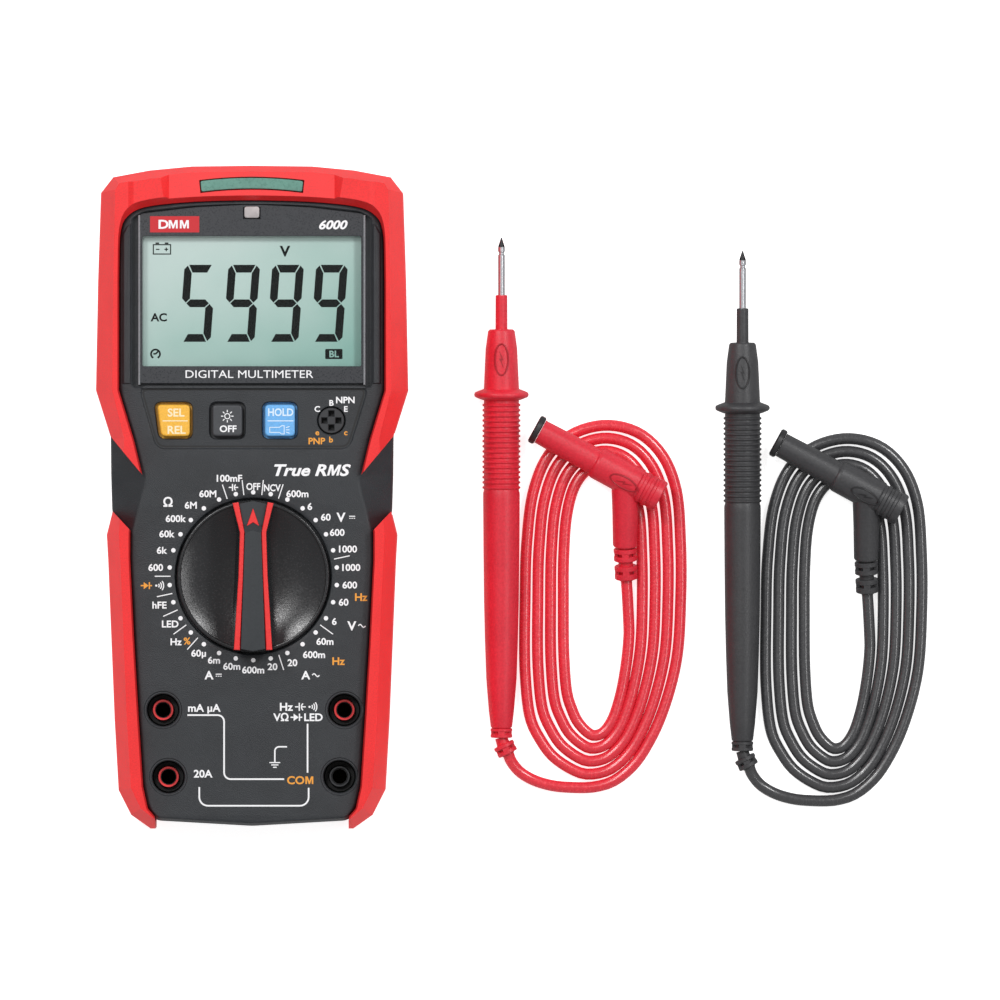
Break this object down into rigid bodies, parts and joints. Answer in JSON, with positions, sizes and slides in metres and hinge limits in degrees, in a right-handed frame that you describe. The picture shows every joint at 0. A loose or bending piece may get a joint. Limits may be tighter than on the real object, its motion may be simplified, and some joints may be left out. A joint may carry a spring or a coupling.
{
  "type": "handheld digital multimeter with test leads",
  "caption": "Handheld digital multimeter with rotary range switch, display, push keys, input sockets and tilt stand, lying beside its red and black test leads with probes.",
  "frame": {"origin": "centre of the meter's back face, on the table that the meter and its leads lie on", "axes": "+X to the right across the front panel, +Y from the input sockets towards the display, +Z out of the front panel"},
  "size_m": [0.2319, 0.1844, 0.056],
  "materials": {
    "charcoal_plastic": "fine spark-eroded grain, satin",
    "red_bumper": "smooth satin red moulding",
    "display_glass": "clear acrylic with a glossy face",
    "lcd_film": "pale green reflective display film",
    "diffuser_plastic": "frosted white light guide",
    "light_pipe": "translucent grey-green light bar",
    "clear_lens": "small clear lens",
    "yellow_key": "satin yellow key",
    "charcoal_key": "satin dark key",
    "blue_key": "satin light blue key",
    "silicone": "translucent silicone rubber",
    "socket_black": "black moulded plastic",
    "knob_plastic": "smooth satin dark knob",
    "knob_red": "red second shot in the knob",
    "nylon": "natural nylon",
    "steel": "polished nickel-plated steel",
    "brass": "turned brass",
    "circuit_board": "green solder mask",
    "fuse_ceramic": "glazed ceramic tube",
    "cell_jacket": null,
    "jack_red": "red socket ring",
    "jack_black": "dark socket ring",
    "red_grip": "soft satin red elastomer",
    "red_cable": "flexible satin red jacket",
    "black_grip": "soft satin dark elastomer",
    "black_cable": "flexible satin dark jacket"
  },
  "bodies": {
    "meter": {"front_case": "charcoal_plastic", "rear_case": "charcoal_plastic", "battery_door": "charcoal_plastic", "upper_bumper": "red_bumper", "lower_left_bumper": "red_bumper", "lower_right_bumper": "red_bumper", "display_lens": "display_glass", "lcd_panel": "lcd_film", "lcd_backlight": "diffuser_plastic", "ncv_light_pipe": "light_pipe", "indicator_lens": "clear_lens", "keypad_membrane": "silicone", "transistor_socket": "socket_black", "main_board": "circuit_board", "fuse_ma": "fuse_ceramic", "fuse_20a": "fuse_ceramic", "current_shunt": "brass", "buzzer": "socket_black", "battery_door_screw": "steel", "jack_ma": "jack_red", "jack_volt": "jack_red", "jack_20a": "jack_red", "jack_com": "jack_black", "contact_ma": "brass", "contact_volt": "brass", "contact_20a": "brass", "contact_com": "brass", "battery_cell_1": "cell_jacket", "case_screw_1": "steel", "battery_cell_2": "cell_jacket", "case_screw_2": "steel", "battery_cell_3": "cell_jacket", "case_screw_3": "steel", "battery_cell_4": "cell_jacket", "case_screw_4": "steel"},
    "selector": {"selector_knob": "knob_plastic", "knob_inlay": "knob_red", "knob_cap": "knob_plastic", "switch_rotor": "nylon", "detent_spring": "steel"},
    "select_button": {"select_button": "yellow_key"},
    "backlight_button": {"backlight_button": "charcoal_key"},
    "hold_button": {"hold_button": "blue_key"},
    "stand": {"kickstand": "charcoal_plastic"},
    "red_lead": {"red_probe_handle": "red_grip", "red_probe_tip": "steel", "red_probe_relief": "red_grip", "red_cable_tail": "red_cable", "red_cable_coil": "red_cable", "red_plug_body": "red_grip", "red_plug_relief": "red_grip", "red_plug_contact": "brass"},
    "black_lead": {"black_probe_handle": "black_grip", "black_probe_tip": "steel", "black_probe_relief": "black_grip", "black_cable_tail": "black_cable", "black_cable_coil": "black_cable", "black_plug_body": "black_grip", "black_plug_relief": "black_grip", "black_plug_contact": "brass"}
  },
  "joints": [
    {"name": "selector_turn", "type": "hinge", "parent": "meter", "child": "selector", "pos_m": [0.0004, -0.022, 0.05], "axis": [0, 0, 1], "continuous": true},
    {"name": "select_press", "type": "slide", "parent": "meter", "child": "select_button", "axis": [0, 0, -1], "range_m": [0, 0.0008], "stiffness_N_per_m": 900, "springref_m": -0.0002},
    {"name": "backlight_press", "type": "slide", "parent": "meter", "child": "backlight_button", "axis": [0, 0, -1], "range_m": [0, 0.0008], "stiffness_N_per_m": 900, "springref_m": -0.0002},
    {"name": "hold_press", "type": "slide", "parent": "meter", "child": "hold_button", "axis": [0, 0, -1], "range_m": [0, 0.0008], "stiffness_N_per_m": 900, "springref_m": -0.0002},
    {"name": "stand_swing", "type": "hinge", "parent": "meter", "child": "stand", "pos_m": [0, 0.063, 0.0021], "axis": [1, 0, 0], "range_deg": [0, 60]},
    {"name": "red_lead_lift", "type": "slide", "parent": "meter", "child": "red_lead", "axis": [0, 0, 1], "range_m": [0, 0.08]},
    {"name": "black_lead_lift", "type": "slide", "parent": "meter", "child": "black_lead", "axis": [0, 0, 1], "range_m": [0, 0.08]}
  ]
}
